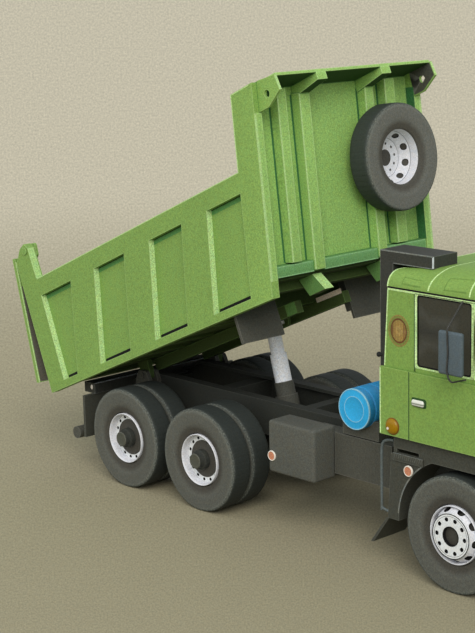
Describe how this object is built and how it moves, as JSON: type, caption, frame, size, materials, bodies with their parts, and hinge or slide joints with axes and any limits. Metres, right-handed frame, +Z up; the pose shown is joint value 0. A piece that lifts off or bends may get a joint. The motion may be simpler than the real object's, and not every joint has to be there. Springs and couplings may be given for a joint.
{
  "type": "tipper truck scale model",
  "caption": "Card scale model of a three-axle rear tipper truck, its ribbed bed raised on a telescopic cylinder, with turning wheels and a swinging tailgate.",
  "frame": {"origin": "on the ground under the middle of the model's box", "axes": "+X forward, +Y to the truck's left, +Z up"},
  "size_m": [0.2523, 0.092, 0.1483],
  "materials": {
    "dark_card": "matt printed card",
    "tyre_card": "matt printed card",
    "rim_card": "satin printed card",
    "green_card": "matt printed card",
    "blue_card": "matt printed card",
    "silver_card": "satin printed card",
    "lamp_gloss": "gloss varnish",
    "lamp_clear": "gloss varnish",
    "window_card": "satin printed card",
    "mirror_card": "matt printed card"
  },
  "bodies": {
    "chassis": {"air_intake": "dark_card", "battery_box": "dark_card", "cab_floor": "green_card", "cab_front": "green_card", "cab_rear_wall": "green_card", "cab_roof": "green_card", "cab_side_left": "green_card", "cab_side_right": "green_card", "cab_steps": "dark_card", "cab_windows": "window_card", "chassis_frame": "dark_card", "door_handles": "silver_card", "front_axle": "dark_card", "front_bumper": "dark_card", "front_mudguards": "dark_card", "front_springs": "dark_card", "fuel_tank": "dark_card", "headlamps": "lamp_clear", "hydraulic_tank": "blue_card", "mid_axle": "dark_card", "mirrors": "mirror_card", "mud_flaps": "dark_card", "rear_axle": "dark_card", "rear_lamp_bar": "dark_card", "rear_lamps": "lamp_gloss", "rear_springs": "dark_card", "side_lamps": "lamp_gloss", "tank_saddle": "dark_card", "tip_hinge_brackets": "dark_card", "tool_box": "dark_card", "tow_jaw": "dark_card", "underrun_bar": "dark_card"},
    "front_left_wheel": {"front_left_rim": "rim_card", "front_left_tyre": "tyre_card"},
    "front_right_wheel": {"front_right_rim": "rim_card", "front_right_tyre": "tyre_card"},
    "mid_left_wheel": {"mid_left_rim": "rim_card", "mid_left_tyres": "tyre_card"},
    "mid_right_wheel": {"mid_right_rim": "rim_card", "mid_right_tyres": "tyre_card"},
    "rear_left_wheel": {"rear_left_rim": "rim_card", "rear_left_tyres": "tyre_card"},
    "rear_right_wheel": {"rear_right_rim": "rim_card", "rear_right_tyres": "tyre_card"},
    "bed": {"bed_floor": "green_card", "bed_side_left": "green_card", "bed_side_right": "green_card", "bed_underframe": "green_card", "headboard": "green_card", "spare_carrier": "dark_card", "spare_rim": "rim_card", "spare_tyre": "tyre_card", "splash_plates": "dark_card"},
    "tailgate": {"tailgate": "green_card"},
    "cylinder_tube": {"cylinder_tube": "dark_card"},
    "cylinder_stage_1": {"cylinder_stage_1": "dark_card"},
    "cylinder_stage_2": {"cylinder_stage_2": "silver_card"},
    "cylinder_stage_3": {"cylinder_stage_3": "silver_card"}
  },
  "joints": [
    {"name": "front_left_spin", "type": "hinge", "parent": "chassis", "child": "front_left_wheel", "pos_m": [0.084, 0.033, 0.0178], "axis": [0, 1, 0], "continuous": true},
    {"name": "front_right_spin", "type": "hinge", "parent": "chassis", "child": "front_right_wheel", "pos_m": [0.084, -0.033, 0.0178], "axis": [0, 1, 0], "continuous": true},
    {"name": "mid_left_spin", "type": "hinge", "parent": "chassis", "child": "mid_left_wheel", "pos_m": [-0.026, 0.033, 0.0178], "axis": [0, 1, 0], "continuous": true},
    {"name": "mid_right_spin", "type": "hinge", "parent": "chassis", "child": "mid_right_wheel", "pos_m": [-0.026, -0.033, 0.0178], "axis": [0, 1, 0], "continuous": true},
    {"name": "rear_left_spin", "type": "hinge", "parent": "chassis", "child": "rear_left_wheel", "pos_m": [-0.065, 0.033, 0.0178], "axis": [0, 1, 0], "continuous": true},
    {"name": "rear_right_spin", "type": "hinge", "parent": "chassis", "child": "rear_right_wheel", "pos_m": [-0.065, -0.033, 0.0178], "axis": [0, 1, 0], "continuous": true},
    {"name": "bed_tip", "type": "hinge", "parent": "chassis", "child": "bed", "pos_m": [-0.076, 0, 0.0355], "axis": [0, -1, 0], "range_deg": [-23.4, 2.6]},
    {"name": "tailgate_swing", "type": "hinge", "parent": "bed", "child": "tailgate", "pos_m": [-0.11788, 0, 0.07916], "axis": [0, 1, 0], "range_deg": [-7, 50]},
    {"name": "cylinder_swing", "type": "hinge", "parent": "chassis", "child": "cylinder_tube", "pos_m": [-0.0165, 0, 0.015], "axis": [0, 1, 0], "range_deg": [-2, 0.5]},
    {"name": "stage_1_slide", "type": "slide", "parent": "cylinder_tube", "child": "cylinder_stage_1", "axis": [-0.2658, 0, 0.964], "range_m": [-0.0042, 0.00064]},
    {"name": "stage_2_slide", "type": "slide", "parent": "cylinder_stage_1", "child": "cylinder_stage_2", "axis": [-0.2658, 0, 0.964], "range_m": [-0.0093, 0.00121]},
    {"name": "stage_3_slide", "type": "slide", "parent": "cylinder_stage_2", "child": "cylinder_stage_3", "axis": [-0.2658, 0, 0.964], "range_m": [-0.00847, 0.00112]}
  ],
  "couplings": [
    {"joint": "cylinder_swing", "follows": "bed_tip", "ratio": 0.05991},
    {"joint": "stage_1_slide", "follows": "bed_tip", "m_per_rad": 0.0097942},
    {"joint": "stage_2_slide", "follows": "bed_tip", "m_per_rad": 0.022282},
    {"joint": "stage_3_slide", "follows": "bed_tip", "m_per_rad": 0.02026}
  ]
}
